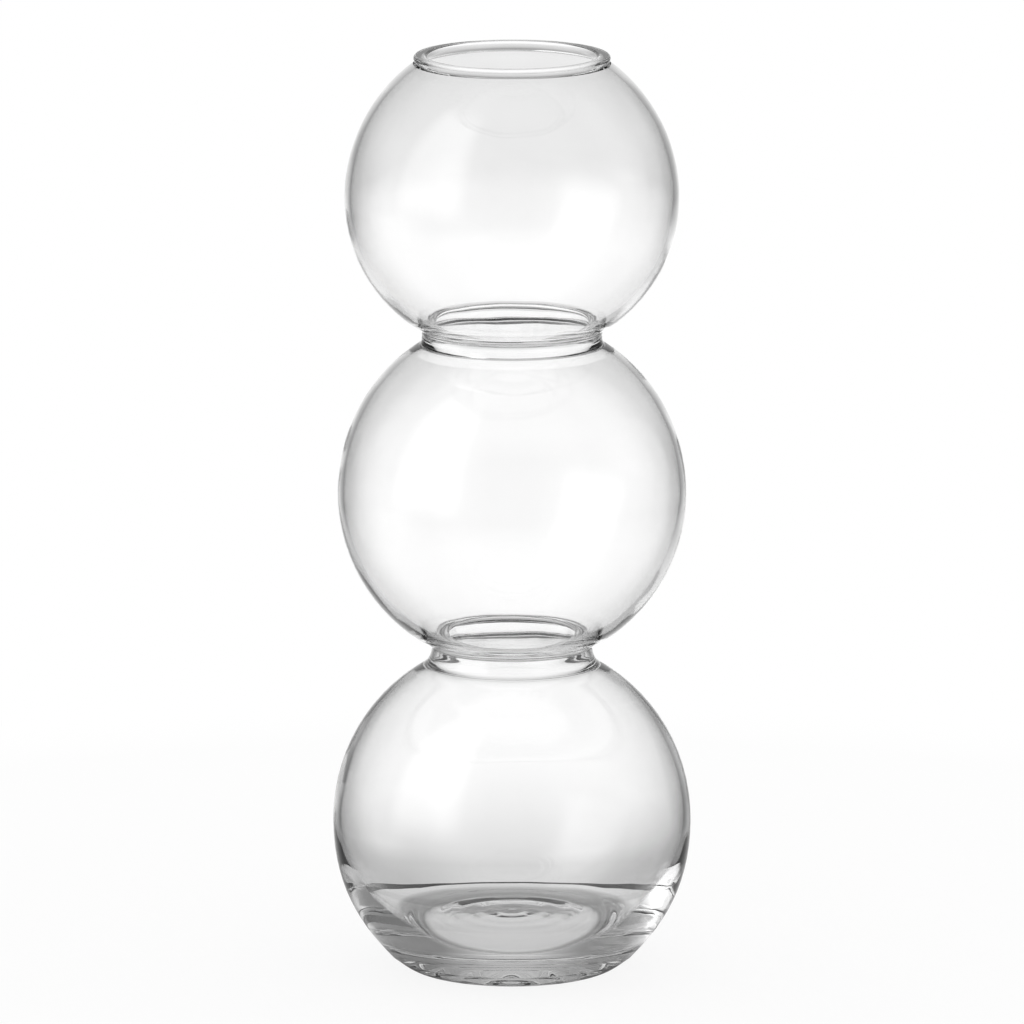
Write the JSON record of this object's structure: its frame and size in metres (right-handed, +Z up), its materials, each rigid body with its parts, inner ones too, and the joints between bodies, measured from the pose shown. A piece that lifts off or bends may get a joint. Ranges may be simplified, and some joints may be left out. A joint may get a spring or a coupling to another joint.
{
  "type": "bud vase",
  "caption": "Tall clear-glass bud vase: round bulbs stacked with narrow ringed necks between them, a beaded mouth and a heavy flat foot.",
  "frame": {"origin": "middle of the foot, on the surface that the vase stands on", "axes": "+Z up along the vase's axis, towards the mouth; the vase is turned, so +X and +Y are free"},
  "size_m": [0.0968, 0.0968, 0.25],
  "materials": {
    "clear_glass": "fire-polished"
  },
  "bodies": {
    "root": {"base_bulb": "clear_glass", "lower_neck_ring": "clear_glass", "middle_bulb": "clear_glass", "upper_neck_ring": "clear_glass", "top_bulb": "clear_glass", "rim_bead": "clear_glass"}
  },
  "joints": []
}
